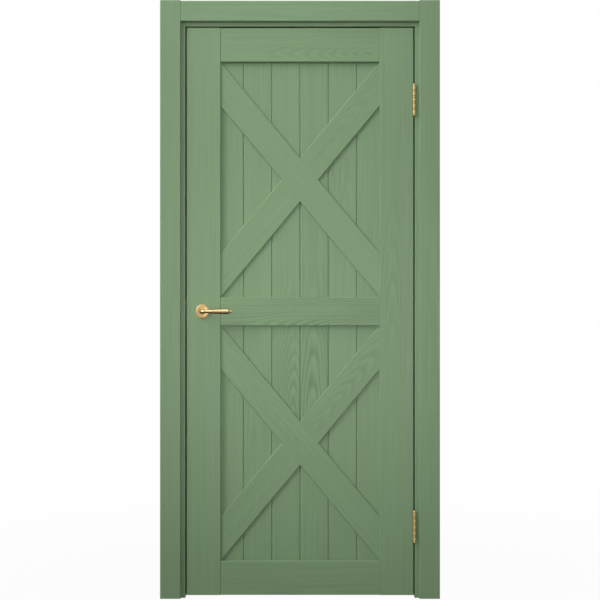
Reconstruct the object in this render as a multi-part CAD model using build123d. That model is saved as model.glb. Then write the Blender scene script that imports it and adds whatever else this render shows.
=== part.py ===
# Interior door set: a framed, boarded and braced leaf hung on butt hinges in a rebated frame with casings.
# Millimetres. +X to the hinge side, +Y away from the side that the leaf opens to, +Z up from the floor.
# The origin is on the floor, midway between the casings, in the middle of the leaf's thickness.
import os
from math import sqrt

from build123d import *

os.makedirs("parts", exist_ok=True)

# Leaf
leaf_width = 800.0
leaf_height = 2000.0
leaf_thickness = 40.0
stile_width = 120.0
rail_height = 120.0
rail_step = 1.0  # how far rails and ledges lie below the stiles' faces
eased_edge = 2.0
ledge_height = 100.0
ledge_above_leaf_bottom = 1000.0
brace_width = 100.0
brace_thickness = 7.5

# Boards of the panel
board_thickness = 12.0
board_width = 100.0
board_count = 6
board_gap = 0.8
board_bevel = 2.2
tongue_thickness = 4.0
tongue_reach = 5.0
tongue_clearance = 0.2
panel_groove_depth = 12.0
panel_groove_clearance = 0.1
panel_end_room = 1.0

# Dowels of the corner joints
dowel_radius = 6.0
dowel_length = 90.0
dowel_spacing = 60.0
dowel_clearance = 0.05

# Gaps round the leaf
lock_gap = 5.0
hinge_gap = 4.0
head_gap = 5.0
floor_gap = 10.0

# Jambs and their seal
jamb_depth = 80.0
jamb_wall = 30.0
stop_height = 12.0
seal_gap = 4.0
seal_inset = 8.5  # from the rebate face to the middle of the seal
seal_groove_width = 3.0
seal_groove_depth = 7.0
seal_bulb_radius = 2.0
seal_clearance = 0.1
seal_leaf_clearance = 0.3
fixing_radius = 3.0
fixing_low = 500.0
fixing_high = 1500.0

# Casings
casing_width = 72.0
casing_thickness = 14.0
casing_reveal = 15.5
casing_eased_edge = 2.0
casing_rise = 2.0  # how far the side casings stand above the head casing

# Hinges
hinge_height = 100.0
hinge_barrel_radius = 6.0
hinge_pin_radius = 3.5
hinge_pin_clearance = 0.08
hinge_axis_gap = 0.5  # from the barrel to the leaf's face
hinge_plate_thickness = 2.5
hinge_plate_reach = 34.0  # from the axis to the plate's far edge
hinge_bearing_height = 7.0
hinge_bearing_radius = 5.7
hinge_ring_ease = 1.3
hinge_axial_play = 0.1
hinge_knuckle_count = 5
hinge_tip_height = 8.0
hinge_tip_radius = 5.4
hinge_tip_neck_radius = 4.4
upper_hinge_below_leaf_top = 255.0
lower_hinge_above_leaf_bottom = 242.0
hinge_recess_clearance = 0.1

# Countersunk screws of hinges, faceplate and strike
screw_head_radius = 4.0
screw_shank_radius = 2.0
screw_length = 30.0
screw_clearance = 0.1
screw_cross_length = 4.6
screw_cross_width = 1.0
screw_cross_depth = 1.5
hinge_screw_height_shares = (-0.38, -0.14, 0.14, 0.38)
hinge_screw_near_share = 0.38
hinge_screw_far_share = 0.72

# Lever set
backset = 55.0
handle_above_leaf_bottom = 1000.0
rose_radius = 25.0
rose_rim_height = 4.0
rose_rim_ease = 0.9
rose_rim_inner_radius = 22.8
rose_step_height = 4.9
rose_shoulder_radius = 20.0
rose_shoulder_height = 7.8
rose_shoulder_curve = 3.2
rose_height = 8.5
rose_collar_radius = 12.0
rose_collar_height = 10.0
rose_collar_ease = 0.8
rose_cavity_radius = 22.4
rose_cavity_height = 3.8
rose_bolt_cavity_radius = 18.0
rose_bolt_cavity_height = 6.6
rose_plate_radius = 22.0
rose_plate_thickness = 3.6
rose_bolt_radius = 2.0
rose_bolt_head_radius = 3.2
rose_bolt_head_height = 2.4
rose_bolt_spacing = 28.0
rose_clearance = 0.3
spindle_width = 8.0
spindle_clearance = 0.1
spindle_in_lever = 24.0
spindle_hole_radius = 10.5
lever_reach = 46.5  # from the leaf's face to the grip's axis
lever_length = 107.5  # from the spindle's axis to the tip
lever_neck_radius = 8.6
lever_elbow_radius = 7.2
lever_bend_radius = 11.0
lever_waist_place = 17.0  # these places are measured from the spindle's axis
lever_waist_radius = 5.4
lever_swell_place = 28.4
lever_swell_radius = 6.7
lever_swell_shares = (-0.45, 0.12)  # the slopes of the waist's curve at its two ends
lever_groove_radius = 5.2
lever_groove_width = 1.5
lever_bead_width = 10.0
lever_bead_radius = 7.2
lever_bead_root_radius = 6.0
lever_grip_start_radius = 7.2
lever_grip_end_radius = 9.2
lever_grip_length = 50.8
lever_shoulder_length = 6.0
lever_finial_neck_radius = 2.6
lever_finial_radius = 4.3

# Latch
faceplate_height = 170.0
faceplate_width = 20.0
faceplate_thickness = 3.0
case_depth = 80.0
case_thickness = 15.0
case_wall = 1.5
case_above_spindle = 65.0
case_below_spindle = 45.0
case_clearance = 0.3
follower_boss_radius = 8.5
follower_hub_radius = 10.0
follower_arm_radius = 16.0
follower_arm_width = 6.0
follower_side_play = 0.2
follower_running_clearance = 0.08
bolt_above_spindle = 35.0
bolt_height = 18.0
bolt_thickness = 11.0
bolt_throw = 12.0
bolt_nose_flat = 2.5
bolt_body_length = 25.0
bolt_clearance = 0.3
bolt_tail_height = 6.0
bolt_tab_width = 4.0
bolt_tab_above_spindle = 11.0
bolt_tab_gap = 0.4
spring_radius = 4.5
spring_wire = 1.2
spring_turns = 6

# Strike
strike_height = 120.0
strike_thickness = 2.0
strike_mouth_height = 20.0
strike_mouth_width = 13.0
strike_pocket_depth = 14.0
strike_screw_spacing = 96.0
faceplate_screw_spacing = 148.0

# How far a cutting body runs past what it cuts
overrun = 5.0

# Places that follow from the sizes above
opening_half = (lock_gap + leaf_width + hinge_gap) / 2
lock_edge = lock_gap - opening_half
hinge_edge = opening_half - hinge_gap
leaf_front = -leaf_thickness / 2
leaf_back = leaf_thickness / 2
leaf_bottom = floor_gap
leaf_top = floor_gap + leaf_height
rebate_top = leaf_top + head_gap
jamb_outer = opening_half + jamb_wall
jamb_top = rebate_top + jamb_wall
jamb_front = leaf_front
jamb_back = jamb_front + jamb_depth
stop_face = leaf_back + seal_gap
casing_inner = opening_half + casing_reveal
casing_outer = casing_inner + casing_width
head_casing_bottom = rebate_top + casing_reveal
head_casing_top = head_casing_bottom + casing_width
side_casing_top = head_casing_top + casing_rise

panel_left = lock_edge + stile_width
panel_right = hinge_edge - stile_width
panel_middle = (panel_left + panel_right) / 2
panel_bottom = leaf_bottom + rail_height
panel_top = leaf_top - rail_height
ledge_bottom = leaf_bottom + ledge_above_leaf_bottom - ledge_height / 2
ledge_top = ledge_bottom + ledge_height
rail_front = leaf_front + rail_step
board_front = -board_thickness / 2
brace_front = board_front - brace_thickness
panel_groove_half = board_thickness / 2 + panel_groove_clearance
board_end_reach = panel_groove_depth - panel_end_room

hinge_x = hinge_edge + hinge_gap / 2
hinge_y = leaf_front - hinge_axis_gap - hinge_barrel_radius
upper_hinge_z = leaf_top - upper_hinge_below_leaf_top
lower_hinge_z = leaf_bottom + lower_hinge_above_leaf_bottom
hinge_heights = (lower_hinge_z, upper_hinge_z)
hinge_bearing_count = hinge_knuckle_count - 1
hinge_knuckle_height = (hinge_height - hinge_bearing_count * hinge_bearing_height) / hinge_knuckle_count
hinge_plate_end = hinge_y + hinge_plate_reach
hinge_plate_width = hinge_plate_end - leaf_front

handle_x = lock_edge + backset
handle_z = leaf_bottom + handle_above_leaf_bottom
case_left = lock_edge + faceplate_thickness
case_right = case_left + case_depth
case_bottom = handle_z - case_below_spindle
case_top = handle_z + case_above_spindle
case_middle_z = (case_bottom + case_top) / 2
case_inner_half = case_thickness / 2 - case_wall
bolt_z = handle_z + bolt_above_spindle
bolt_bottom = bolt_z - bolt_height / 2
bolt_top = bolt_z + bolt_height / 2
bolt_body_end = case_left + case_wall + bolt_body_length
bolt_tab_left = handle_x + follower_arm_width / 2 + bolt_tab_gap
strike_face = -opening_half


def block(low_x, high_x, low_y, high_y, low_z, high_z):
    """A box between two planes across each axis."""
    corner = (Align.MIN, Align.MIN, Align.MIN)
    return Pos(low_x, low_y, low_z) * Box(high_x - low_x, high_y - low_y, high_z - low_z, align=corner)


def rod(radius, start, end):
    """A round bar from one point to another."""
    run = Vector(*end) - Vector(*start)
    return extrude(Plane(origin=start, z_dir=run) * Circle(radius), amount=run.length)


def prism(plane, points, depth):
    """A closed outline of straight lines on a plane, drawn out along the plane's normal."""
    return extrude(plane * make_face(Polyline(*points, close=True)), amount=depth)


def group(shapes):
    """Separate solids kept together in one node."""
    return Compound([solid for shape in shapes for solid in shape.solids()])


def ease(shape, along, sides, size):
    """Bevels the long edges of a bar on its front face (first) or back face (last), or on both."""
    rows = shape.edges().filter_by(along).group_by(Axis.Y)
    return chamfer([edge for side in sides for edge in rows[side]], size)


# Jambs


def jamb_section():
    """The jamb's outline: distance out from the rebate face, then depth."""
    seal_left = -seal_inset - seal_groove_width / 2
    seal_right = seal_left + seal_groove_width
    return [
        (0, jamb_front),
        (jamb_wall, jamb_front),
        (jamb_wall, jamb_back),
        (-stop_height, jamb_back),
        (-stop_height, stop_face),
        (seal_left, stop_face),
        (seal_left, stop_face + seal_groove_depth),
        (seal_right, stop_face + seal_groove_depth),
        (seal_right, stop_face),
        (0, stop_face),
    ]


def seal_section():
    """A stem in the groove and a round bulb that the leaf closes on."""
    upward = (Align.CENTER, Align.MIN)
    stem_half = seal_groove_width / 2 - seal_clearance
    bulb_middle = stop_face - seal_gap + seal_leaf_clearance + seal_bulb_radius
    stem = Pos(-seal_inset, bulb_middle) * Rectangle(
        stem_half * 2, stop_face + seal_groove_depth - seal_clearance - bulb_middle, align=upward
    )
    bulb_depth = stop_face - bulb_middle
    base = Pos(-seal_inset, bulb_middle) * Rectangle(seal_bulb_radius * 2, bulb_depth, align=upward)
    return stem + base + Pos(-seal_inset, bulb_middle) * Circle(seal_bulb_radius)


def mitre_plane(side):
    """The plane of the top corner on the hinge side (1) or the lock side (-1), facing the upright."""
    return Plane(origin=(side * jamb_outer, 0, jamb_top), z_dir=(side, 0, -1))


def upright_length(section):
    """A length of a section up the hinge side, mitred at the top."""
    length = extrude(Plane(origin=(opening_half, 0, 0), x_dir=(1, 0, 0)) * section, amount=jamb_top)
    return split(length, bisect_by=mitre_plane(1), keep=Keep.TOP)


def head_length(section):
    """A length of a section across the head, mitred at both ends."""
    end = Plane(origin=(jamb_outer, 0, rebate_top), x_dir=(0, 0, 1), z_dir=(-1, 0, 0))
    length = extrude(end * section, amount=jamb_outer * 2)
    for side in (-1, 1):
        length = split(length, bisect_by=mitre_plane(side), keep=Keep.BOTTOM)
    return length


def fixing_holes(side):
    """Holes through a jamb for the screws that fix it in the wall."""
    middle_y = (jamb_front + stop_face) / 2
    inner = side * (opening_half - overrun)
    outer = side * (jamb_outer + overrun)
    return [rod(fixing_radius, (inner, middle_y, z), (outer, middle_y, z)) for z in (fixing_low, fixing_high)]


def hinge_jamb():
    jamb = upright_length(make_face(Polyline(*jamb_section(), close=True)))
    jamb -= fixing_holes(1)
    for z in hinge_heights:
        jamb -= hinge_recess(1, z)
        jamb -= [screw_hole(*place) for place in hinge_screw_places(1, z)]
    return jamb


def lock_jamb():
    jamb = mirror(upright_length(make_face(Polyline(*jamb_section(), close=True))), about=Plane.YZ)
    jamb -= fixing_holes(-1)
    jamb -= edge_slot(
        strike_face, -strike_thickness, bolt_z, strike_height, faceplate_width, hinge_recess_clearance
    )
    jamb -= strike_mouth(strike_pocket_depth)
    return jamb - [screw_hole(*place) for place in strike_screw_places()]


def head_jamb():
    return head_length(make_face(Polyline(*jamb_section(), close=True)))


def frame_seal():
    upright = upright_length(seal_section())
    return upright + head_length(seal_section()) + mirror(upright, about=Plane.YZ)


# Casings


def side_casing(side, front):
    low_y = jamb_front - casing_thickness if front else jamb_back
    casing = block(casing_inner, casing_outer, low_y, low_y + casing_thickness, 0, side_casing_top)
    casing = ease(casing, Axis.Z, [0 if front else -1], casing_eased_edge)
    return casing if side > 0 else mirror(casing, about=Plane.YZ)


def head_casing(front):
    low_y = jamb_front - casing_thickness if front else jamb_back
    casing = block(
        -casing_inner, casing_inner, low_y, low_y + casing_thickness, head_casing_bottom, head_casing_top
    )
    return ease(casing, Axis.X, [0 if front else -1], casing_eased_edge)


# Stiles, rails and dowels


def stile(low_x, high_x, panel_edge):
    """An upright of the leaf, with the groove that the boards and the rails' tenons sit in."""
    upright = block(low_x, high_x, leaf_front, leaf_back, leaf_bottom, leaf_top)
    upright = ease(upright, Axis.Z, [0, -1], eased_edge)
    groove = block(
        panel_edge - panel_groove_depth,
        panel_edge + panel_groove_depth,
        -panel_groove_half,
        panel_groove_half,
        leaf_bottom - overrun,
        leaf_top + overrun,
    )
    return upright - groove - dowels(dowel_radius + dowel_clearance)


def dowels(radius):
    """Two dowels across each of the four corner joints."""
    rods = []
    for x in (panel_left, panel_right):
        for middle in (leaf_bottom + rail_height / 2, leaf_top - rail_height / 2):
            for z in (middle - dowel_spacing / 2, middle + dowel_spacing / 2):
                rods.append(rod(radius, (x - dowel_length / 2, 0, z), (x + dowel_length / 2, 0, z)))
    return rods


def rail(low_z, panel_edge):
    """A cross piece with stub tenons in the stiles' grooves and a groove for the boards' ends."""
    body = block(panel_left, panel_right, rail_front, -rail_front, low_z, low_z + rail_height)
    body = ease(body, Axis.X, [0, -1], eased_edge)
    body += block(
        panel_left - board_end_reach,
        panel_right + board_end_reach,
        board_front,
        -board_front,
        low_z,
        low_z + rail_height,
    )
    body -= block(
        panel_left - stile_width,
        panel_right + stile_width,
        -panel_groove_half,
        panel_groove_half,
        panel_edge - panel_groove_depth,
        panel_edge + panel_groove_depth,
    )
    return body - dowels(dowel_radius + dowel_clearance)


def hinge_stile():
    upright = stile(panel_right, hinge_edge, panel_right)
    for z in hinge_heights:
        upright -= hinge_recess(-1, z)
        upright -= [screw_hole(*place) for place in hinge_screw_places(-1, z)]
    return upright


def lock_stile():
    upright = stile(lock_edge, panel_left, panel_left)
    upright -= edge_slot(
        lock_edge,
        faceplate_thickness,
        case_middle_z,
        faceplate_height,
        faceplate_width,
        hinge_recess_clearance,
    )
    upright -= block(
        lock_edge - overrun,
        case_right + case_clearance,
        -case_thickness / 2 - case_clearance,
        case_thickness / 2 + case_clearance,
        case_bottom - case_clearance,
        case_top + case_clearance,
    )
    upright -= rod(
        spindle_hole_radius,
        (handle_x, leaf_front - overrun, handle_z),
        (handle_x, leaf_back + overrun, handle_z),
    )
    upright -= rose_bolt_holes(leaf_front - overrun, leaf_back + overrun)
    return upright - [screw_hole(*place) for place in faceplate_screw_places()]


# Boards, ledges and braces


def board(index):
    """One board of the panel, counted from the lock side: grooved on its left edge, tongued on its right."""
    joints = [panel_middle + (step - board_count / 2) * board_width for step in range(board_count + 1)]
    first = index == 0
    last = index == board_count - 1
    left = panel_left - board_end_reach if first else joints[index] + board_gap / 2
    right = panel_right + board_end_reach if last else joints[index + 1] - board_gap / 2
    left_bevel = 0 if first else board_bevel
    right_bevel = 0 if last else board_bevel
    half = board_thickness / 2
    outline = [
        (left + left_bevel, -half),
        (right - right_bevel, -half),
        (right, -half + right_bevel),
        (right, half - right_bevel),
        (right - right_bevel, half),
        (left + left_bevel, half),
        (left, half - left_bevel),
        (left, -half + left_bevel),
    ]
    corners = [point for place, point in enumerate(outline) if point != outline[place - 1]]
    bottom = panel_bottom - board_end_reach
    length = panel_top + board_end_reach - bottom
    piece = prism(Plane(origin=(0, 0, bottom)), corners, length)
    if not last:
        tongue = tongue_thickness / 2
        piece += block(right - tongue_reach, right + tongue_reach, -tongue, tongue, bottom, bottom + length)
    if not first:
        groove = tongue_thickness / 2 + tongue_clearance
        groove_end = left + tongue_reach + tongue_clearance
        top = bottom + length
        piece -= block(left - overrun, groove_end, -groove, groove, bottom - overrun, top + overrun)
    return piece


def on_face(piece, front):
    """A piece made on the front face, or its twin on the back face."""
    return piece if front else mirror(piece, about=Plane.XZ)


def ledge(front):
    bar = block(panel_left, panel_right, rail_front, board_front, ledge_bottom, ledge_top)
    return on_face(ease(bar, Axis.X, [0], eased_edge), front)


def brace_slope():
    """The slope of a bar of the braces' width that runs from corner to corner of one panel."""
    width = panel_right - panel_left
    height = panel_top - ledge_top
    reach = sqrt(width**2 + height**2 - brace_width**2)
    return (width * height - brace_width * reach) / (width**2 - brace_width**2)


def brace_bar(low_z, high_z, low_y, high_y):
    """A bar from the top corner on the lock side to the bottom corner on the hinge side."""
    cut = brace_width * sqrt(1 + brace_slope() ** 2)
    outline = [
        (panel_left, high_z),
        (panel_left, high_z - cut),
        (panel_right, low_z),
        (panel_right, low_z + cut),
    ]
    back = Plane(origin=(0, high_y, 0), x_dir=(1, 0, 0), z_dir=(0, -1, 0))
    return prism(back, outline, high_y - low_y)


def whole_cross(low_z, high_z):
    """Both braces of a panel in one, with the long front edges bevelled."""
    bar = brace_bar(low_z, high_z, brace_front, board_front)
    cross = bar + mirror(bar, about=Plane.YZ.offset(panel_middle))
    front_edges = cross.edges().filter_by(GeomType.LINE).group_by(Axis.Y)[0]
    return chamfer(front_edges.filter_by(Axis.Z, reverse=True), eased_edge)


def braces(low_z, high_z, front):
    """The through brace and the two half braces that butt against it, flush at the crossing."""
    cross = whole_cross(low_z, high_z)
    path = brace_bar(low_z, high_z, brace_front - overrun, board_front + overrun)
    halves = (cross - path).solids().sort_by(Axis.X)
    return [on_face(piece, front) for piece in (cross & path, halves[0], halves[-1])]


# Hinges


def hinge_recess(side, z):
    """The shallow recess for one hinge plate, in the jamb (side 1) or in the leaf's edge (side -1)."""
    face = hinge_x + side * hinge_gap / 2
    half = hinge_height / 2 + hinge_recess_clearance
    edges = sorted((face - side * overrun, face + side * hinge_plate_thickness))
    return block(*edges, leaf_front - overrun, hinge_plate_end + hinge_recess_clearance, z - half, z + half)


def knuckle_span(index):
    """Bottom and top of one knuckle above the hinge's lower end."""
    bottom = index * (hinge_knuckle_height + hinge_bearing_height)
    return bottom, bottom + hinge_knuckle_height


def ring(radius, bottom, top):
    """A round length of the hinge's barrel with both ends bevelled."""
    length = rod(radius, (hinge_x, hinge_y, bottom), (hinge_x, hinge_y, top))
    return chamfer(length.edges().filter_by(GeomType.CIRCLE), hinge_ring_ease)


def hinge_leaf(side, z):
    """A plate with its knuckles: the odd ones on the frame (side 1), the others on the leaf (side -1)."""
    near = hinge_x + side * hinge_gap / 2
    edges = sorted((near, near + side * hinge_plate_thickness))
    low = z - hinge_height / 2
    leaf = block(*edges, leaf_front, hinge_plate_end, low, low + hinge_height)
    for index in range(0 if side > 0 else 1, hinge_knuckle_count, 2):
        bottom, top = knuckle_span(index)
        leaf += ring(hinge_barrel_radius, low + bottom, low + top)
        leaf += block(*edges, hinge_y, leaf_front, low + bottom, low + top)
    bore = hinge_pin_radius + hinge_pin_clearance
    leaf -= rod(bore, (hinge_x, hinge_y, low - overrun), (hinge_x, hinge_y, low + hinge_height + overrun))
    return leaf - [screw_hole(*place) for place in hinge_screw_places(side, z)]


def hinge_bearings(z):
    """The four rings that carry the leaf between the knuckles."""
    rings = []
    for index in range(hinge_bearing_count):
        bottom = z - hinge_height / 2 + knuckle_span(index)[1] + hinge_axial_play
        top = bottom + hinge_bearing_height - 2 * hinge_axial_play
        bore = hinge_pin_radius + hinge_pin_clearance
        hole = rod(bore, (hinge_x, hinge_y, bottom), (hinge_x, hinge_y, top))
        rings.append(ring(hinge_bearing_radius, bottom, top) - hole)
    return group(rings)


def hinge_pin(z):
    """A pin with a turned tip on both ends."""
    half = hinge_height / 2
    neck = half + (hinge_tip_height - hinge_tip_radius)
    tip = half + hinge_tip_height
    outline = [
        Line((0, 0), (hinge_pin_radius, 0)),
        Line((hinge_pin_radius, 0), (hinge_pin_radius, half)),
        Line((hinge_pin_radius, half), (hinge_tip_neck_radius, half)),
        Line((hinge_tip_neck_radius, half), (hinge_tip_neck_radius, neck)),
        Line((hinge_tip_neck_radius, neck), (hinge_tip_radius, neck)),
        RadiusArc((hinge_tip_radius, neck), (0, tip), -hinge_tip_radius),
        Line((0, tip), (0, 0)),
    ]
    upper = revolve(Plane.XZ * make_face(outline), axis=Axis.Z)
    return Pos(hinge_x, hinge_y, z) * (upper + mirror(upper, about=Plane.XY))


# Screws


def screw_head_height():
    return screw_head_radius - screw_shank_radius


def screw(head_point, direction_x, clearance):
    """A countersunk screw along X, with its head's face at a point."""
    plane = Plane(origin=head_point, z_dir=(direction_x, 0, 0))
    head_radius = screw_head_radius + clearance
    shank_radius = screw_shank_radius + clearance
    height = screw_head_height()
    head = loft([plane * Circle(head_radius), plane.offset(height) * Circle(shank_radius)])
    return head + extrude(plane * Circle(shank_radius), amount=screw_length + clearance)


def screw_hole(head_point, direction_x):
    """The countersunk hole that a screw sits in."""
    return screw(head_point, direction_x, screw_clearance)


def screw_cross(head_point, direction_x):
    """The crossed slots in a screw's head."""
    plane = Plane(origin=head_point, z_dir=(direction_x, 0, 0))
    slots = [
        Rectangle(screw_cross_length, screw_cross_width),
        Rectangle(screw_cross_width, screw_cross_length),
    ]
    return [extrude(plane * slot, amount=screw_cross_depth) for slot in slots]


def screws(places):
    return group([screw(*place, 0) - screw_cross(*place) for place in places])


def hinge_screw_places(side, z):
    """Head points and directions of the screws in one hinge plate, in two staggered rows."""
    places = []
    for index, share in enumerate(hinge_screw_height_shares):
        across = hinge_screw_near_share if index % 2 else hinge_screw_far_share
        y = leaf_front + hinge_plate_width * across
        places.append(((hinge_x + side * hinge_gap / 2, y, z + hinge_height * share), side))
    return places


def faceplate_screw_places():
    half = faceplate_screw_spacing / 2
    return [((lock_edge, 0, case_middle_z + way * half), 1) for way in (-1, 1)]


def strike_screw_places():
    half = strike_screw_spacing / 2
    return [((strike_face, 0, bolt_z + way * half), -1) for way in (-1, 1)]


# Latch and strike


def edge_slot(face_x, depth, middle_z, height, width, clearance):
    """A round-ended plate let into an edge, from its face to a depth along X."""
    plane = Plane(origin=(face_x, 0, middle_z), x_dir=(0, 0, 1), z_dir=(1, 0, 0))
    outline = SlotOverall(height + clearance * 2, width + clearance * 2)
    return extrude(plane * outline, amount=depth)


def bolt_passage(low_x, high_x):
    """The way that the bolt slides through, with its clearance."""
    half = bolt_thickness / 2 + bolt_clearance
    return block(low_x, high_x, -half, half, bolt_bottom - bolt_clearance, bolt_top + bolt_clearance)


def latch_faceplate():
    plate = edge_slot(lock_edge, faceplate_thickness, case_middle_z, faceplate_height, faceplate_width, 0)
    plate -= bolt_passage(lock_edge - overrun, case_left + overrun)
    return plate - [screw_hole(*place) for place in faceplate_screw_places()]


def latch_case():
    """A thin steel box with holes for the bolt, the follower and the rose bolts."""
    half = case_thickness / 2
    case = block(case_left, case_right, -half, half, case_bottom, case_top)
    case -= block(
        case_left + case_wall,
        case_right - case_wall,
        -case_inner_half,
        case_inner_half,
        case_bottom + case_wall,
        case_top - case_wall,
    )
    case -= bolt_passage(case_left - overrun, case_left + case_wall)
    case -= rod(
        follower_boss_radius + follower_running_clearance,
        (handle_x, -half - overrun, handle_z),
        (handle_x, half + overrun, handle_z),
    )
    return case - rose_bolt_holes(-half - overrun, half + overrun)


def latch_bolt():
    """A bolt with a bevelled nose, and a tail with the tab that the follower's arm pushes."""
    half = bolt_thickness / 2
    tip = lock_edge - bolt_throw
    outline = [
        (tip, -half),
        (bolt_body_end, -half),
        (bolt_body_end, half),
        (lock_edge, half),
        (tip, -half + bolt_nose_flat),
    ]
    bolt = prism(Plane(origin=(0, 0, bolt_bottom)), outline, bolt_height)
    tail_half = half - bolt_clearance
    tab_right = bolt_tab_left + bolt_tab_width
    tail_top = bolt_bottom + bolt_tail_height
    bolt += block(bolt_body_end, tab_right, -tail_half, tail_half, bolt_bottom, tail_top)
    tab_bottom = handle_z + bolt_tab_above_spindle
    return bolt + block(bolt_tab_left, tab_right, -tail_half, tail_half, tab_bottom, tail_top)


def latch_spring():
    """A coil that pushes the bolt out, between its body and the back wall of the case."""
    spring_z = bolt_top - spring_radius
    start = bolt_body_end + spring_wire
    length = case_right - case_wall - spring_wire - start
    path = Helix(pitch=length / spring_turns, height=length, radius=spring_radius - spring_wire / 2)
    section = Plane(origin=path @ 0, z_dir=path % 0) * Rectangle(spring_wire, spring_wire)
    coil = sweep(section, path=path, is_frenet=True)
    return Plane(origin=(start, 0, spring_z), z_dir=(1, 0, 0)) * coil


def latch_follower():
    """A turned hub with bosses in the case's walls, a square hole and one arm."""
    inner_half = case_inner_half - follower_side_play
    outer_half = case_thickness / 2
    hub = rod(follower_boss_radius, (handle_x, -outer_half, handle_z), (handle_x, outer_half, handle_z))
    hub += rod(follower_hub_radius, (handle_x, -inner_half, handle_z), (handle_x, inner_half, handle_z))
    half = follower_arm_width / 2
    hub += block(
        handle_x - half, handle_x + half, -inner_half, inner_half, handle_z, handle_z + follower_arm_radius
    )
    return hub - square_bar(-outer_half - overrun, outer_half + overrun, spindle_clearance)


def strike_mouth(depth):
    """The mouth that the bolt springs into, from the strike's face to a depth in the jamb."""
    half = strike_mouth_width / 2
    low = bolt_z - strike_mouth_height / 2
    return block(strike_face - depth, strike_face + overrun, -half, half, low, low + strike_mouth_height)


def strike_plate():
    plate = edge_slot(strike_face, -strike_thickness, bolt_z, strike_height, faceplate_width, 0)
    plate -= strike_mouth(strike_thickness + overrun)
    return plate - [screw_hole(*place) for place in strike_screw_places()]


# Lever set


def square_bar(low_y, high_y, clearance):
    half = spindle_width / 2 + clearance
    return block(handle_x - half, handle_x + half, low_y, high_y, handle_z - half, handle_z + half)


def spindle():
    end = leaf_back + spindle_in_lever
    return square_bar(-end, end, 0)


def rose_bolt_places():
    half = rose_bolt_spacing / 2
    return handle_x - half, handle_x + half


def rose_bolt_holes(low_y, high_y):
    radius = rose_bolt_radius + screw_clearance
    return [rod(radius, (x, low_y, handle_z), (x, high_y, handle_z)) for x in rose_bolt_places()]


def turned(outline):
    """A turned piece on the spindle's axis: radius, then height out from the leaf's front face."""
    plane = Plane(origin=(handle_x, leaf_front, handle_z), x_dir=(1, 0, 0), z_dir=(0, 0, -1))
    axis = Axis((handle_x, leaf_front, handle_z), (0, 1, 0))
    return revolve(plane * make_face(outline), axis=axis)


def rose(front):
    """A turned cover with a flat rim, a domed face and a collar, hollow over its plate and the bolts."""
    bore = lever_neck_radius + rose_clearance
    step = (rose_rim_inner_radius, rose_step_height)
    shoulder = (rose_shoulder_radius, rose_shoulder_height)
    outline = [
        Polyline(
            shoulder,
            (rose_collar_radius, rose_height),
            (rose_collar_radius, rose_collar_height - rose_collar_ease),
            (rose_collar_radius - rose_collar_ease, rose_collar_height),
            (bore, rose_collar_height),
            (bore, rose_bolt_cavity_height),
            (rose_bolt_cavity_radius, rose_bolt_cavity_height),
            (rose_bolt_cavity_radius, rose_cavity_height),
            (rose_cavity_radius, rose_cavity_height),
            (rose_cavity_radius, 0),
            (rose_radius, 0),
            (rose_radius, rose_rim_height - rose_rim_ease),
            (rose_radius - rose_rim_ease, rose_rim_height),
            (rose_rim_inner_radius, rose_rim_height),
            step,
        ),
        RadiusArc(step, shoulder, -rose_shoulder_curve),
    ]
    return on_face(turned(outline), front)


def rose_plates():
    """The two plates under the roses, clamped to the leaf."""
    bore = lever_neck_radius + rose_clearance
    outline = [
        (bore, 0),
        (rose_plate_radius, 0),
        (rose_plate_radius, rose_plate_thickness),
        (bore, rose_plate_thickness),
    ]
    plate = turned(Polyline(*outline, close=True))
    plate -= rose_bolt_holes(leaf_front - rose_plate_thickness - overrun, leaf_front + overrun)
    return group([plate, on_face(plate, False)])


def rose_bolts():
    """Two bolts through the leaf, headed on both ends."""
    seat = leaf_back + rose_plate_thickness
    bolts = []
    for x in rose_bolt_places():
        bolt = rod(rose_bolt_radius, (x, -seat, handle_z), (x, seat, handle_z))
        for way in (-1, 1):
            head_end = way * (seat + rose_bolt_head_height)
            bolt += rod(rose_bolt_head_radius, (x, way * seat, handle_z), (x, head_end, handle_z))
        bolts.append(bolt)
    return group(bolts)


def lever_neck():
    """The neck that turns in the rose, and the elbow that bends it along the leaf."""
    elbow_start = leaf_front - lever_reach + lever_bend_radius
    neck_end = leaf_front - rose_collar_height
    neck_start = leaf_front - rose_clearance
    neck = rod(lever_neck_radius, (handle_x, neck_start, handle_z), (handle_x, neck_end, handle_z))
    toward = Plane(origin=(handle_x, neck_end, handle_z), z_dir=(0, -1, 0))
    bend_start = Plane(origin=(handle_x, elbow_start, handle_z), z_dir=(0, -1, 0))
    neck += loft([toward * Circle(lever_neck_radius), bend_start * Circle(lever_elbow_radius)])
    bend_axis = Axis((handle_x + lever_bend_radius, elbow_start, handle_z), (0, 0, 1))
    elbow = revolve(bend_start * Circle(lever_elbow_radius), axis=bend_axis, revolution_arc=90)
    return neck + elbow


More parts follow.
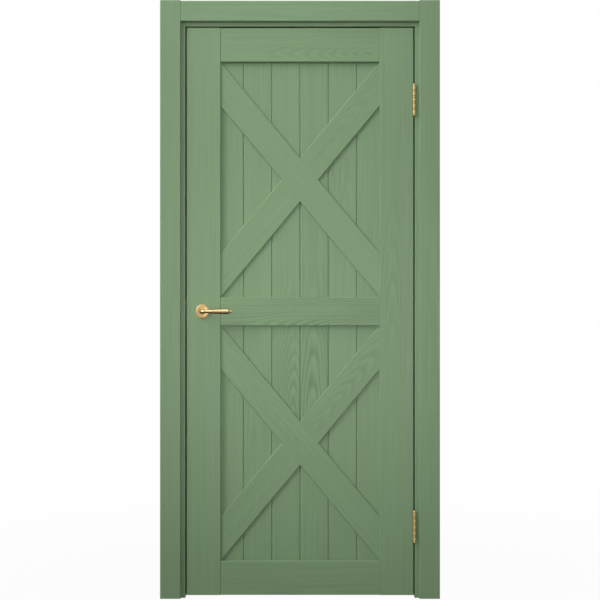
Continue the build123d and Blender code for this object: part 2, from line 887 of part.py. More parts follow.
def lever_grip():
    """The turned arm: a waist, a bead between two grooves, a grip that swells, and a ball finial."""
    bead_start = lever_swell_place + lever_groove_width
    bead_end = bead_start + lever_bead_width
    grip_start = bead_end + lever_groove_width
    grip_end = grip_start + lever_grip_length
    finial_neck = grip_end + lever_shoulder_length
    finial_middle = lever_length - lever_finial_radius
    finial_root = finial_middle - sqrt(lever_finial_radius**2 - lever_finial_neck_radius**2)
    elbow = (lever_bend_radius, lever_elbow_radius)
    swell = (lever_swell_place, lever_swell_radius)
    outline = [
        Line((lever_bend_radius, 0), elbow),
        Spline(
            elbow,
            (lever_waist_place, lever_waist_radius),
            swell,
            tangents=[(1, share) for share in lever_swell_shares],
        ),
        Polyline(
            swell,
            (lever_swell_place, lever_groove_radius),
            (bead_start, lever_groove_radius),
            (bead_start, lever_bead_root_radius),
        ),
        ThreePointArc(
            (bead_start, lever_bead_root_radius),
            (bead_start + lever_bead_width / 2, lever_bead_radius),
            (bead_end, lever_bead_root_radius),
        ),
        Polyline(
            (bead_end, lever_bead_root_radius),
            (bead_end, lever_groove_radius),
            (grip_start, lever_groove_radius),
            (grip_start, lever_grip_start_radius),
            (grip_end, lever_grip_end_radius),
        ),
        RadiusArc(
            (grip_end, lever_grip_end_radius), (finial_neck, lever_finial_neck_radius), lever_shoulder_length
        ),
        Line((finial_neck, lever_finial_neck_radius), (finial_root, lever_finial_neck_radius)),
        ThreePointArc(
            (finial_root, lever_finial_neck_radius), (finial_middle, lever_finial_radius), (lever_length, 0)
        ),
        Line((lever_length, 0), (lever_bend_radius, 0)),
    ]
    arm = revolve(Plane.XY * make_face(outline), axis=Axis.X)
    return Pos(handle_x, leaf_front - lever_reach, handle_z) * arm


def lever(front):
    """One lever on the spindle's end."""
    piece = lever_neck() + lever_grip()
    piece -= square_bar(-leaf_back - spindle_in_lever, leaf_front + overrun, spindle_clearance)
    return on_face(piece, front)


pieces = {
    "hinge_jamb": hinge_jamb(),
    "lock_jamb": lock_jamb(),
    "head_jamb": head_jamb(),
    "frame_seal": frame_seal(),
    "strike_plate": strike_plate(),
    "strike_screws": screws(strike_screw_places()),
    "hinge_frame_screws": screws([place for z in hinge_heights for place in hinge_screw_places(1, z)]),
    "hinge_door_screws": screws([place for z in hinge_heights for place in hinge_screw_places(-1, z)]),
    "hinge_stile": hinge_stile(),
    "lock_stile": lock_stile(),
    "top_rail": rail(panel_top, panel_top),
    "bottom_rail": rail(leaf_bottom, panel_bottom),
    "rail_dowels": group(dowels(dowel_radius)),
    "latch_case": latch_case(),
    "latch_faceplate": latch_faceplate(),
    "latch_screws": screws(faceplate_screw_places()),
    "latch_bolt": latch_bolt(),
    "latch_spring": latch_spring(),
    "latch_follower": latch_follower(),
    "spindle": spindle(),
    "rose_plates": rose_plates(),
    "rose_bolts": rose_bolts(),
}
for index in range(board_count):
    pieces[f"board_{index + 1}"] = board(index)
for face, front in (("front", True), ("back", False)):
    pieces[f"{face}_casing_left"] = side_casing(-1, front)
    pieces[f"{face}_casing_right"] = side_casing(1, front)
    pieces[f"{face}_casing_head"] = head_casing(front)
    pieces[f"{face}_ledge"] = ledge(front)
    pieces[f"{face}_rose"] = rose(front)
    pieces[f"{face}_lever"] = lever(front)
    for panel, low, high in (("upper", ledge_top, panel_top), ("lower", panel_bottom, ledge_bottom)):
        for place, piece in zip(("through", "left", "right"), braces(low, high, front)):
            pieces[f"{panel}_{face}_brace_{place}"] = piece
for place, z in (("upper", upper_hinge_z), ("lower", lower_hinge_z)):
    pieces[f"{place}_hinge_frame_leaf"] = hinge_leaf(1, z)
    pieces[f"{place}_hinge_door_leaf"] = hinge_leaf(-1, z)
    pieces[f"{place}_hinge_pin"] = hinge_pin(z)
    pieces[f"{place}_hinge_bearings"] = hinge_bearings(z)

for name, piece in pieces.items():
    export_step(piece, f"parts/{name}.step")
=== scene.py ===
"""Looks of the painted interior door: open-pored ash under satin paint, brass fittings and plain studio light."""

from math import cos, pi, radians, sin

import bpy
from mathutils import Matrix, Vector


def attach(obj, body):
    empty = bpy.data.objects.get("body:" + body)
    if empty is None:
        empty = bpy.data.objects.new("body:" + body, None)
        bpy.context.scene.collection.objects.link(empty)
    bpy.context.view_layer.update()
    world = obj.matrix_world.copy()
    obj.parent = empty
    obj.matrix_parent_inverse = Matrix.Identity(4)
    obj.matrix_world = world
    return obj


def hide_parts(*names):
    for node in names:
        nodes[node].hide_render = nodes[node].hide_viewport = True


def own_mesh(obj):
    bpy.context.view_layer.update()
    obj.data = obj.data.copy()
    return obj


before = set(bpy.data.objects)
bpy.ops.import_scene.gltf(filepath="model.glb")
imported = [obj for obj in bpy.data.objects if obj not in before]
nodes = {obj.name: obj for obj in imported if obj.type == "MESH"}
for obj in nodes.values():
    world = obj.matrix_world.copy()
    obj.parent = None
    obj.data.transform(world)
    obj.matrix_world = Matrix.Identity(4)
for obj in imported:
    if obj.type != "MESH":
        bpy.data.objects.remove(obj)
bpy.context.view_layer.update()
bpy.ops.object.select_all(action="DESELECT")
scene = bpy.context.scene

# Colours, linear
PAINT = (0.208, 0.322, 0.174, 1.0)
PAINT_IN_GRAIN = (0.150, 0.240, 0.124, 1.0)
BRASS = (0.520, 0.370, 0.165, 1.0)
BRASS_WORN = (0.430, 0.290, 0.115, 1.0)
# Painted shade: the brass darkens to this on its sides turned away from the lamps
BRASS_PAINTED_SHADE = (0.100, 0.058, 0.018, 1.0)
# The lever's brass is painted lighter than the rose's so that its upper side reads lit: a painted highlight, with
# painted shade below.
LEVER_BRASS_PAINTED_LIT = (0.80, 0.60, 0.29, 1.0)
LEVER_BRASS_WORN_PAINTED_LIT = (0.70, 0.51, 0.23, 1.0)
# Painted shade: the latch bolt's brass is painted dark so that it sits dim in the leaf's edge
BOLT_BRASS_PAINTED_SHADE = (0.150, 0.120, 0.065, 1.0)
BOLT_BRASS_WORN_PAINTED_SHADE = (0.090, 0.070, 0.036, 1.0)
STEEL = (0.56, 0.56, 0.58, 1.0)
STEEL_DULL = (0.42, 0.42, 0.44, 1.0)
# Painted shade: the steel darkens to this on its sides turned away from the lamps
STEEL_PAINTED_SHADE = (0.16, 0.155, 0.15, 1.0)
RUBBER = (0.060, 0.085, 0.055, 1.0)
RUBBER_WORN = (0.085, 0.115, 0.078, 1.0)
BARE_ASH = (0.56, 0.40, 0.23, 1.0)
BARE_ASH_GRAIN = (0.40, 0.26, 0.13, 1.0)
WHITE = (1.0, 1.0, 1.0, 1.0)
FLOOR_PAINT = (0.30, 0.30, 0.30, 1.0)

# Growth rings of the ash, metres: their width, the depth of their heart, the arches' reach along the grain, and sway
WIDE_RINGS = 0.0085
CLOSE_RINGS = 0.0058
HEART_DEPTH = 0.036
ARCH_REACH = 0.32
SWAY_ACROSS = 0.030
SWAY_IN_DEPTH = 0.010
# Noise in the ash, in cells to the metre across, through and along the grain
SWAY_CELLS = (9.0, 9.0, 2.2)
RIPPLE_CELLS = (55.0, 55.0, 9.0)
BOLD_CELLS = (26.0, 26.0, 3.0)
STREAK_CELLS = (210.0, 210.0, 2.6)
PORE_CELLS = (1150.0, 1150.0, 30.0)
CLOUD_CELLS = (5.0, 5.0, 0.9)
SEED_STRIDES = (3.1, 1.7, 5.3)
FIRST_SEED = 11.0
SEED_STEP = 1.37
# How rough the finishes are, and the relief of their grain and lines
PAINT_ROUGHNESS = 0.54
DOWEL_ROUGHNESS = 0.60
GRAIN_ROUGHENS = 0.16
GRAIN_RELIEF = 0.30
PAINTED_PORE_DEPTH = 0.0004
BARE_PORE_DEPTH = 0.0003
METAL_ROUGHNESS = 0.26
METAL_RELIEF = 0.12
RUBBER_RELIEF = 0.15
FINE_DEPTH = 0.0002
FLOOR_ROUGHNESS = 0.9
# Noise in the metal and the rubber, in cells to the metre along their three axes
# The noise cells that break up the edge of the painted shade on the metal
SHADE_PATCH_CELLS = (45.0, 45.0, 45.0)
DULL_CELLS = (70.0, 70.0, 70.0)
LINE_CELLS = (240.0, 3200.0, 3200.0)
SPECK_CELLS = (900.0, 900.0, 900.0)
BLOOM_CELLS = (90.0, 90.0, 12.0)
SKIN_CELLS = (1600.0, 1600.0, 500.0)

# Turns, and the sides of the metal that are painted in shade, turned away from the lamps
LEVEL = pi / 2
BRACE_TURN = radians(39.7)
RIGHT_BELOW = (0.50, 0.25, -0.83)
BELOW = (0.0, 0.10, -0.995)

# Places and lengths, metres; the lens and its sensor are in millimetres
CAMERA_PLACE = (0.0, -4.32, 1.0503)
CAMERA_LENS = 73.18
CAMERA_SENSOR = 36.0
CAMERA_SEES_TO = 200.0
# Each lamp: where it hangs, what it faces, its width, its spread, its power, and whether gloss shows it
LAMPS = {
    "key_lamp": ((-2.55, -1.69, 4.44), (0.43, 0.0, 2.38), 3.6, radians(86.0), 42.5, True),
    "top_lamp": ((0.30, -0.90, 4.60), (0.17, 0.0, 1.00), 2.4, radians(150.0), 20.0, True),
    "left_lamp": ((-3.16, -1.70, 2.04), (-0.57, 0.0, 0.78), 1.75, radians(57.0), 5.2, True),
    "front_lamp": ((-0.34, -3.13, 0.95), (-0.18, 0.0, 1.00), 0.8, radians(58.0), 1.75, False),
    "right_lamp": ((0.42, -2.90, 0.96), (0.06, 0.0, 1.00), 0.9, radians(46.0), 1.25, True),
    "head_lamp": ((-0.20, -2.60, 2.80), (0.0, 0.0, 2.32), 0.8, radians(36.0), 1.0, False),
    "side_lamp": ((3.20, 0.90, 2.20), (0.43, 0.02, 1.00), 1.6, radians(60.0), 6.0, True),
    "back_lamp": ((1.60, 3.40, 2.80), (0.0, 0.0, 1.00), 2.4, radians(60.0), 22.0, True),
}
AMBIENT = 0.13
FLOOR_SIZE = 60.0
FLOOR_SHADOW_NEAR = 0.5
FLOOR_SHADOW_FAR = 3.0
FLOOR_GLOW_SHARE = 0.965


def add(tree, kind, **settings):
    """A new node of that kind, with its settings."""
    made = tree.nodes.new(kind)
    for name, value in settings.items():
        setattr(made, name, value)
    return made


def feed(tree, socket, value):
    """Links a socket to another one, or sets its value."""
    if isinstance(value, bpy.types.NodeSocket):
        tree.links.new(value, socket)
    else:
        socket.default_value = value


def sum_of(tree, operation, first, second=0.0):
    """The result of one piece of arithmetic."""
    made = add(tree, "ShaderNodeMath", operation=operation)
    feed(tree, made.inputs[0], first)
    feed(tree, made.inputs[1], second)
    return made.outputs[0]


def ramp(tree, value, low, high, out_low=0.0, out_high=1.0):
    """A soft step from low to high."""
    made = add(tree, "ShaderNodeMapRange", interpolation_type="SMOOTHSTEP")
    feed(tree, made.inputs["Value"], value)
    feed(tree, made.inputs["From Min"], low)
    feed(tree, made.inputs["From Max"], high)
    made.inputs["To Min"].default_value = out_low
    made.inputs["To Max"].default_value = out_high
    return made.outputs[0]


def noise(tree, place, stretch, detail=2.0, roughness=0.5):
    """Noise whose cells are stretched along the three axes; stretch is in cells to the metre."""
    scaled = add(tree, "ShaderNodeVectorMath", operation="MULTIPLY")
    feed(tree, scaled.inputs[0], place)
    scaled.inputs[1].default_value = stretch
    made = add(tree, "ShaderNodeTexNoise")
    made.inputs["Scale"].default_value = 1.0
    made.inputs["Detail"].default_value = detail
    made.inputs["Roughness"].default_value = roughness
    tree.links.new(scaled.outputs[0], made.inputs["Vector"])
    return made.outputs[0]


def group(name, inputs, outputs):
    """An empty node group with its named sockets, and its input and output nodes."""
    tree = bpy.data.node_groups.new(name, "ShaderNodeTree")
    for socket, kind in inputs:
        tree.interface.new_socket(name=socket, in_out="INPUT", socket_type=kind)
    for socket, kind in outputs:
        tree.interface.new_socket(name=socket, in_out="OUTPUT", socket_type=kind)
    return tree, add(tree, "NodeGroupInput"), add(tree, "NodeGroupOutput")


def ash_grain():
    """Ash with the grain along Z: rings that arch where the saw met them flat, and open pores."""
    tree, given, put_out = group(
        "ash_grain",
        [
            ("Vector", "NodeSocketVector"),
            ("Seed", "NodeSocketFloat"),
            ("Figure", "NodeSocketFloat"),
            ("Boldness", "NodeSocketFloat"),
            ("Ring Width", "NodeSocketFloat"),
        ],
        [("Tone", "NodeSocketFloat"), ("Height", "NodeSocketFloat")],
    )
    shift = add(tree, "ShaderNodeCombineXYZ")
    for axis, stride in enumerate(SEED_STRIDES):
        tree.links.new(sum_of(tree, "MULTIPLY", given.outputs["Seed"], stride), shift.inputs[axis])
    shifted = add(tree, "ShaderNodeVectorMath", operation="ADD")
    tree.links.new(given.outputs["Vector"], shifted.inputs[0])
    tree.links.new(shift.outputs[0], shifted.inputs[1])
    place = shifted.outputs[0]
    split = add(tree, "ShaderNodeSeparateXYZ")
    tree.links.new(given.outputs["Vector"], split.inputs[0])
    sway = sum_of(tree, "SUBTRACT", noise(tree, place, SWAY_CELLS, 2.0), 0.5)
    ripple = sum_of(tree, "SUBTRACT", noise(tree, place, RIPPLE_CELLS, 2.0), 0.5)
    across = sum_of(tree, "ADD", split.outputs["X"], sum_of(tree, "MULTIPLY", sway, SWAY_ACROSS))
    lean = ramp(tree, split.outputs["Z"], -ARCH_REACH, ARCH_REACH, -HEART_DEPTH, HEART_DEPTH)
    lean = sum_of(tree, "MULTIPLY", lean, given.outputs["Figure"])
    heart = sum_of(tree, "ADD", lean, HEART_DEPTH)
    heart = sum_of(tree, "ADD", heart, sum_of(tree, "MULTIPLY", sway, SWAY_IN_DEPTH))
    square = sum_of(tree, "MULTIPLY", across, across)
    square = sum_of(tree, "ADD", square, sum_of(tree, "MULTIPLY", heart, heart))
    rings = sum_of(tree, "DIVIDE", sum_of(tree, "SQRT", square), given.outputs["Ring Width"])
    rings = sum_of(tree, "ADD", rings, given.outputs["Seed"])
    rings = sum_of(tree, "ADD", rings, sum_of(tree, "MULTIPLY", ripple, 0.5))
    phase = sum_of(tree, "FRACT", rings)
    fades = ramp(tree, phase, 0.22, 0.85, 1.0, 0.0)
    band = sum_of(tree, "MULTIPLY", ramp(tree, phase, 0.0, 0.22), fades)
    reach = sum_of(tree, "ABSOLUTE", split.outputs["Z"])
    bold = ramp(tree, reach, 0.10, 0.42, 1.0, 0.28)
    bold = sum_of(tree, "MULTIPLY", bold, given.outputs["Boldness"])
    uneven = ramp(tree, noise(tree, place, BOLD_CELLS, 1.0), 0.30, 0.60, 0.45, 1.0)
    bold = sum_of(tree, "MULTIPLY", bold, uneven)
    band = sum_of(tree, "MULTIPLY", band, bold)
    streak = ramp(tree, noise(tree, place, STREAK_CELLS, 3.0, 0.6), 0.36, 0.68)
    pore = ramp(tree, noise(tree, place, PORE_CELLS, 1.0), 0.56, 0.70)
    open_share = sum_of(tree, "ADD", sum_of(tree, "MULTIPLY", band, 0.8), 0.2)
    pore = sum_of(tree, "MULTIPLY", pore, open_share)
    cloud = noise(tree, place, CLOUD_CELLS, 1.0)
    tone = sum_of(tree, "MULTIPLY", band, 0.34)
    tone = sum_of(tree, "ADD", tone, sum_of(tree, "MULTIPLY", streak, 0.26))
    tone = sum_of(tree, "ADD", tone, sum_of(tree, "MULTIPLY", pore, 0.30))
    tone = sum_of(tree, "ADD", tone, sum_of(tree, "MULTIPLY", cloud, 0.16))
    feed(tree, put_out.inputs["Tone"], tone)
    dip = sum_of(tree, "ADD", pore, sum_of(tree, "MULTIPLY", band, 0.35))
    dip = sum_of(tree, "ADD", dip, sum_of(tree, "MULTIPLY", streak, 0.15))
    feed(tree, put_out.inputs["Height"], sum_of(tree, "SUBTRACT", 1.0, dip))
    return tree


def handled_metal_and_shade():
    """Drawn and polished metal: draw lines, dull clouds and pin scratches, with painted shade on the sides turned
    away from the lamps and on faces turned up or down where parts meet.
    """
    tree, given, put_out = group(
        "handled_metal_and_shade",
        [
            ("Vector", "NodeSocketVector"),
            ("Normal", "NodeSocketVector"),
            ("Far Side", "NodeSocketVector"),
            ("Shade Starts", "NodeSocketFloat"),
            ("Shade Full", "NodeSocketFloat"),
            ("Groove Shade", "NodeSocketFloat"),
            ("Lines", "NodeSocketFloat"),
        ],
        [
            ("Wear", "NodeSocketFloat"),
            ("Painted Shade", "NodeSocketFloat"),
            ("Roughness", "NodeSocketFloat"),
            ("Height", "NodeSocketFloat"),
        ],
    )
    place = given.outputs["Vector"]
    # Painted shade: the metal darkens towards its shade colour on the side turned towards Far Side, away from the
    # lamps, with noisy patches at the shade's edge.
    away = add(tree, "ShaderNodeVectorMath", operation="DOT_PRODUCT")
    tree.links.new(given.outputs["Normal"], away.inputs[0])
    tree.links.new(given.outputs["Far Side"], away.inputs[1])
    patch = sum_of(tree, "SUBTRACT", noise(tree, place, SHADE_PATCH_CELLS, 3.0), 0.5)
    patch = sum_of(tree, "MULTIPLY", patch, 0.25)
    starts, full = given.outputs["Shade Starts"], given.outputs["Shade Full"]
    painted_shade = ramp(tree, sum_of(tree, "ADD", away.outputs["Value"], patch), starts, full)
    # Painted shade on faces turned up or down, such as the ends of the hinge's knuckles, where the grooves between
    # them lie.
    facing = add(tree, "ShaderNodeSeparateXYZ")
    tree.links.new(given.outputs["Normal"], facing.inputs[0])
    ends = ramp(tree, sum_of(tree, "ABSOLUTE", facing.outputs["Z"]), 0.25, 0.65)
    groove_shade_mask = sum_of(tree, "MULTIPLY", ends, given.outputs["Groove Shade"])
    painted_shade = sum_of(tree, "MAXIMUM", painted_shade, groove_shade_mask)
    feed(tree, put_out.inputs["Painted Shade"], painted_shade)
    cloud = ramp(tree, noise(tree, place, DULL_CELLS, 4.0, 0.6), 0.35, 0.70)
    line = noise(tree, place, LINE_CELLS, 1.0)
    speck = ramp(tree, noise(tree, place, SPECK_CELLS, 1.0), 0.66, 0.76)
    drawn = sum_of(tree, "MULTIPLY", line, given.outputs["Lines"])
    wear = sum_of(tree, "MULTIPLY", cloud, 0.55)
    wear = sum_of(tree, "ADD", wear, sum_of(tree, "MULTIPLY", speck, 0.35))
    wear = sum_of(tree, "ADD", wear, sum_of(tree, "MULTIPLY", drawn, 0.25))
    feed(tree, put_out.inputs["Wear"], wear)
    rough = sum_of(tree, "MULTIPLY", cloud, 0.08)
    rough = sum_of(tree, "ADD", rough, sum_of(tree, "MULTIPLY", drawn, 0.08))
    rough = sum_of(tree, "ADD", rough, sum_of(tree, "MULTIPLY", painted_shade, 0.15))
    feed(tree, put_out.inputs["Roughness"], sum_of(tree, "ADD", rough, METAL_ROUGHNESS))
    feed(tree, put_out.inputs["Height"], sum_of(tree, "SUBTRACT", drawn, speck))
    return tree


ASH = ash_grain()
METAL = handled_metal_and_shade()


def blank(name):
    """A new material with its tree and its shader."""
    made = bpy.data.materials.new(name)
    made.use_nodes = True
    shader = made.node_tree.nodes["Principled BSDF"]
    return made, made.node_tree, shader


def coordinates(tree, turn=0.0, middle=(0.0, 0.0)):
    """The piece's own coordinates, turned about Y so that Z runs along its grain, from the figure's middle."""
    source = add(tree, "ShaderNodeTexCoord")
    mapping = add(tree, "ShaderNodeMapping")
    mapping.inputs["Rotation"].default_value = (0.0, turn, 0.0)
    mapping.inputs["Location"].default_value = (-middle[0], 0.0, -middle[1])
    tree.links.new(source.outputs["Object"], mapping.inputs["Vector"])
    return mapping.outputs[0]


def mix(tree, share, first, second):
    """A mix of two colours."""
    made = add(tree, "ShaderNodeMix", data_type="RGBA")
    feed(tree, made.inputs[0], share)
    feed(tree, made.inputs[6], first)
    feed(tree, made.inputs[7], second)
    return made.outputs[2]


def relief(tree, shader, height, strength, distance):
    """Bump on the shader's normal."""
    bump = add(tree, "ShaderNodeBump")
    bump.inputs["Strength"].default_value = strength
    bump.inputs["Distance"].default_value = distance
    tree.links.new(height, bump.inputs["Height"])
    tree.links.new(bump.outputs[0], shader.inputs["Normal"])


def grained(name, colours, seed, figure, boldness, turn, middle, rings, roughness, depth):
    """Ash with its grain showing through its finish."""
    made, tree, shader = blank(name)
    grain = add(tree, "ShaderNodeGroup", node_tree=ASH)
    tree.links.new(coordinates(tree, turn, middle), grain.inputs["Vector"])
    grain.inputs["Seed"].default_value = seed
    grain.inputs["Figure"].default_value = figure
    grain.inputs["Boldness"].default_value = boldness
    grain.inputs["Ring Width"].default_value = rings
    tree.links.new(mix(tree, grain.outputs["Tone"], *colours), shader.inputs["Base Color"])
    rough = ramp(tree, grain.outputs["Tone"], 0.0, 1.0, roughness, roughness + GRAIN_ROUGHENS)
    tree.links.new(rough, shader.inputs["Roughness"])
    relief(tree, shader, grain.outputs["Height"], GRAIN_RELIEF, depth)
    return made


def paint(name, seed, figure=0.0, boldness=0.5, turn=0.0, middle=(0.0, 0.0), rings=WIDE_RINGS):
    """Satin paint over ash."""
    colours = (PAINT, PAINT_IN_GRAIN)
    finish = (PAINT_ROUGHNESS, PAINTED_PORE_DEPTH)
    return grained(f"paint_{name}", colours, seed, figure, boldness, turn, middle, rings, *finish)


def metal(name, colours, lines, turn=0.0, far_side=RIGHT_BELOW, painted_shade=(0.05, 0.85), groove_shade=0.0):
    """Brass or steel, worn by use, and painted in shade on its far side and in its grooves."""
    made, tree, shader = blank(name)
    wear = add(tree, "ShaderNodeGroup", node_tree=METAL)
    tree.links.new(coordinates(tree, turn), wear.inputs["Vector"])
    tree.links.new(add(tree, "ShaderNodeTexCoord").outputs["Normal"], wear.inputs["Normal"])
    wear.inputs["Lines"].default_value = lines
    wear.inputs["Far Side"].default_value = far_side
    wear.inputs["Shade Starts"].default_value, wear.inputs["Shade Full"].default_value = painted_shade
    wear.inputs["Groove Shade"].default_value = groove_shade
    handled = mix(tree, wear.outputs["Wear"], *colours[:2])
    # Painted shade: the worn colour is mixed towards the shade colour where the shade mask is.
    tree.links.new(mix(tree, wear.outputs["Painted Shade"], handled, colours[2]), shader.inputs["Base Color"])
    tree.links.new(wear.outputs["Roughness"], shader.inputs["Roughness"])
    shader.inputs["Metallic"].default_value = 1.0
    relief(tree, shader, wear.outputs["Height"], METAL_RELIEF, FINE_DEPTH)
    return made


def rubber():
    """Extruded rubber with a dusty bloom."""
    made, tree, shader = blank("seal_rubber")
    place = coordinates(tree)
    bloom = ramp(tree, noise(tree, place, BLOOM_CELLS, 3.0, 0.6), 0.35, 0.70)
    tree.links.new(mix(tree, bloom, RUBBER, RUBBER_WORN), shader.inputs["Base Color"])
    tree.links.new(ramp(tree, bloom, 0.0, 1.0, 0.62, 0.80), shader.inputs["Roughness"])
    relief(tree, shader, noise(tree, place, SKIN_CELLS, 1.0), RUBBER_RELIEF, FINE_DEPTH)
    return made


def dress(name, material):
    """Gives a CAD node its finish."""
    nodes[name].data.materials.clear()
    nodes[name].data.materials.append(material)


# Painted wood, each piece with grain of its own
dress("hinge_stile", paint("hinge_stile", 2.31, 0.45, 0.9, 0.0, (0.325, 1.15)))
dress("lock_stile", paint("lock_stile", 5.17, 0.10, 0.30, 0.0, (-0.250, 1.0)))
dress("top_rail", paint("top_rail", 7.43, 0.8, 1.1, LEVEL, (1.920, -0.14), CLOSE_RINGS))
dress("bottom_rail", paint("bottom_rail", 3.89, 0.20, 0.5, LEVEL, (0.020, 0.0)))
dress("front_ledge", paint("front_ledge", 8.61, 1.0, 2.2, LEVEL, (0.952, -0.10), CLOSE_RINGS))
dress("back_ledge", paint("back_ledge", 9.27, 0.40, 1.2, LEVEL, (1.020, 0.15)))
# Each board: seed, figure, boldness, and the place of its arches
BOARDS = (
    (1.13, 0.15, 0.4, (-0.2395, 0.90)),
    (4.71, 0.30, 0.6, (-0.1600, 0.70)),
    (6.29, 1.00, 1.7, (-0.0195, 0.82)),
    (0.57, 0.55, 2.0, (0.0465, 0.82)),
    (2.83, 0.40, 0.8, (0.1750, 1.35)),
    (5.91, 0.15, 0.5, (0.2405, 1.20)),
)
for count, settings in enumerate(BOARDS):
    seed, figure, boldness, middle = settings
    name = f"board_{count + 1}"
    dress(name, paint(name, seed, figure, boldness, 0.0, middle))
# Each panel: the height of its middle, and how bold its braces' grain is
PANELS = {"upper": (1.475, 0.5), "lower": (0.545, 1.1)}
# Each kind of brace: how far its figure lies along it, and how much of that boldness it shows
BRACE_FIGURE = {"through": (0.10, 0.45), "left": (-0.28, 0.55), "right": (0.24, 1.0)}
seed = FIRST_SEED
for place in ("upper", "lower"):
    for face in ("front", "back"):
        for kind, (along, share) in BRACE_FIGURE.items():
            seed += SEED_STEP
            name = f"{place}_{face}_brace_{kind}"
            turn = BRACE_TURN if kind == "through" else -BRACE_TURN
            height, boldness = PANELS[place]
            middle = (height * sin(turn), height * cos(turn) + along)
            dress(name, paint(name, seed, 0.9, boldness * share, turn, middle))
for face in ("front", "back"):
    for side, middle in (("left", -0.440), ("right", 0.470)):
        seed += SEED_STEP
        name = f"{face}_casing_{side}"
        dress(name, paint(name, seed, 0.08, 0.6, 0.0, (middle, 1.0)))
    seed += SEED_STEP
    name = f"{face}_casing_head"
    dress(name, paint(name, seed, 0.15, 0.7, LEVEL, (2.060, 0.0)))
for name, turn in (("hinge_jamb", 0.0), ("lock_jamb", 0.0), ("head_jamb", LEVEL)):
    seed += SEED_STEP
    dress(name, paint(name, seed, 0.05, 0.5, turn))

# Fittings
# All the brass and steel below gets painted shade on its right and lower sides, away from the lamps.
brass_colours = (BRASS, BRASS_WORN, BRASS_PAINTED_SHADE)
brass = metal("polished_brass", brass_colours, 0.5)
brass_upright = metal("turned_brass", brass_colours, 0.6, LEVEL)
# The hinges get painted shade on their knuckles' ends, where the grooves lie, and on their right and lower sides.
hinge_brass = metal("hinge_brass", brass_colours, 0.6, LEVEL, groove_shade=0.65)
lever_lit_and_shade_colours = (LEVER_BRASS_PAINTED_LIT, LEVER_BRASS_WORN_PAINTED_LIT, BRASS_PAINTED_SHADE)
# The lever is painted in shade on its underside by an early shade range, and painted light on top by its lighter
# brass.
lever_brass = metal("lever_brass", lever_lit_and_shade_colours, 0.3, 0.0, BELOW, (-0.75, 0.45))
# Painted shade: a dark brass for the latch bolt, so that it reads dim in the leaf's edge.
bolt_brass_painted_shade = metal("bolt_brass_painted_shade", (BOLT_BRASS_PAINTED_SHADE, BOLT_BRASS_WORN_PAINTED_SHADE, BRASS_PAINTED_SHADE), 0.6)
steel = metal("zinc_steel", (STEEL, STEEL_DULL, STEEL_PAINTED_SHADE), 0.8)
for face in ("front", "back"):
    dress(f"{face}_lever", lever_brass)
    dress(f"{face}_rose", brass)
for place in ("upper", "lower"):
    for kind in ("frame_leaf", "door_leaf", "bearings"):
        dress(f"{place}_hinge_{kind}", hinge_brass)
    dress(f"{place}_hinge_pin", brass_upright)
for name in ("hinge_frame_screws", "hinge_door_screws", "strike_screws", "latch_screws"):
    dress(name, brass_upright)
for name in ("strike_plate", "latch_faceplate"):
    dress(name, brass_upright)
# The latch bolt is painted dark: painted shade.
dress("latch_bolt", bolt_brass_painted_shade)
for name in ("latch_case", "latch_spring", "latch_follower", "spindle", "rose_plates", "rose_bolts"):
    dress(name, steel)
# The lock's spring shortens towards the case's end wall as the bolt is drawn in; here it is a mesh of its own,
# carried by the door leaf's body, and the CAD spring is hidden.
spring = bpy.data.objects.new("wound_spring", nodes["latch_spring"].data.copy())
scene.collection.objects.link(spring)
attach(spring, "door_leaf")
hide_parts("latch_spring")
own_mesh(spring)
dress("frame_seal", rubber())
bare_ash = (BARE_ASH, BARE_ASH_GRAIN)
dowel_finish = (CLOSE_RINGS, DOWEL_ROUGHNESS, BARE_PORE_DEPTH)
dress("rail_dowels", grained("dowel_ash", bare_ash, 4.4, 0.0, 1.0, LEVEL, (0.0, 0.0), *dowel_finish))


def white_to_the_eye(tree):
    """One for rays from the camera, from gloss and through glass, where the background shows white."""
    path = add(tree, "ShaderNodeLightPath")
    seen = sum_of(tree, "MAXIMUM", path.outputs["Is Camera Ray"], path.outputs["Is Glossy Ray"])
    return sum_of(tree, "MAXIMUM", seen, path.outputs["Is Transmission Ray"])


def soft_lamp(name, place, aim, size, spread, power, shows_in_gloss):
    """A round lamp that faces its aim."""
    lamp = bpy.data.lights.new(name, "AREA")
    lamp.shape = "DISK"
    lamp.size = size
    lamp.spread = spread
    lamp.energy = power
    made = bpy.data.objects.new(name, lamp)
    scene.collection.objects.link(made)
    made.location = place
    made.rotation_euler = (Vector(aim) - Vector(place)).to_track_quat("-Z", "Y").to_euler()
    made.visible_glossy = shows_in_gloss


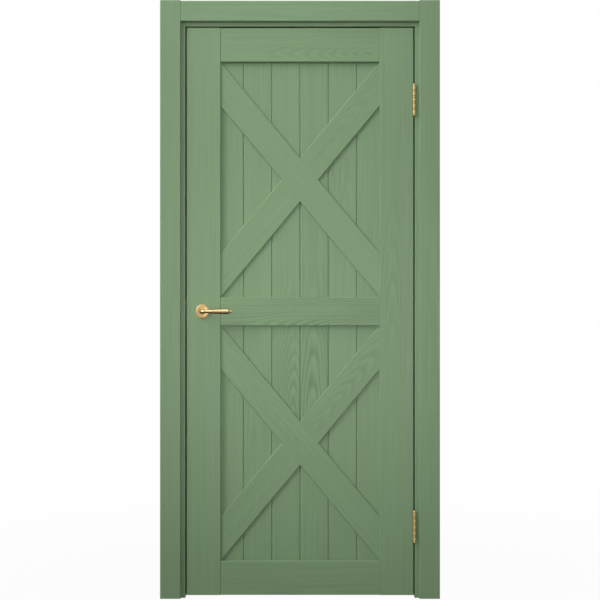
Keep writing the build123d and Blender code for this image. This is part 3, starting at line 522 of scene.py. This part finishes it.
def studio():
    """White surroundings, a pale floor that keeps the shadow, and soft lamps on every side."""
    world = bpy.data.worlds.new("studio")
    scene.world = world
    world.use_nodes = True
    tree = world.node_tree
    ambient = tree.nodes["Background"]
    ambient.inputs["Color"].default_value = WHITE
    ambient.inputs["Strength"].default_value = AMBIENT
    shown = add(tree, "ShaderNodeBackground")
    shown.inputs["Color"].default_value = WHITE
    shown.inputs["Strength"].default_value = 1.0
    either = add(tree, "ShaderNodeMixShader")
    tree.links.new(white_to_the_eye(tree), either.inputs[0])
    tree.links.new(ambient.outputs[0], either.inputs[1])
    tree.links.new(shown.outputs[0], either.inputs[2])
    tree.links.new(either.outputs[0], tree.nodes["World Output"].inputs["Surface"])

    bpy.ops.mesh.primitive_plane_add(size=FLOOR_SIZE, location=(0.0, 0.0, 0.0))
    floor = bpy.context.object
    floor.name = "studio_floor"
    finish, tree, shader = blank("floor_paint")
    shader.inputs["Base Color"].default_value = FLOOR_PAINT
    shader.inputs["Roughness"].default_value = FLOOR_ROUGHNESS
    shader.inputs["Specular IOR Level"].default_value = 0.0
    glow = add(tree, "ShaderNodeEmission")
    glow.inputs["Color"].default_value = WHITE
    glow.inputs["Strength"].default_value = 1.0
    either = add(tree, "ShaderNodeMixShader")
    away = add(tree, "ShaderNodeVectorMath", operation="LENGTH")
    tree.links.new(coordinates(tree), away.inputs[0])
    share = ramp(tree, away.outputs["Value"], FLOOR_SHADOW_NEAR, FLOOR_SHADOW_FAR, FLOOR_GLOW_SHARE, 1.0)
    tree.links.new(sum_of(tree, "MULTIPLY", white_to_the_eye(tree), share), either.inputs[0])
    tree.links.new(shader.outputs[0], either.inputs[1])
    tree.links.new(glow.outputs[0], either.inputs[2])
    tree.links.new(either.outputs[0], tree.nodes["Material Output"].inputs["Surface"])
    floor.data.materials.append(finish)

    for name, settings in LAMPS.items():
        soft_lamp(name, *settings)


def viewpoint():
    """The camera stands square in front of the door at half its height."""
    eye = bpy.data.cameras.new("viewpoint")
    eye.lens = CAMERA_LENS
    eye.sensor_width = CAMERA_SENSOR
    eye.clip_end = CAMERA_SEES_TO
    camera = bpy.data.objects.new("viewpoint", eye)
    scene.collection.objects.link(camera)
    camera.location = CAMERA_PLACE
    camera.rotation_euler = (LEVEL, 0.0, 0.0)
    scene.camera = camera


studio()
viewpoint()
scene.view_settings.view_transform = "Standard"
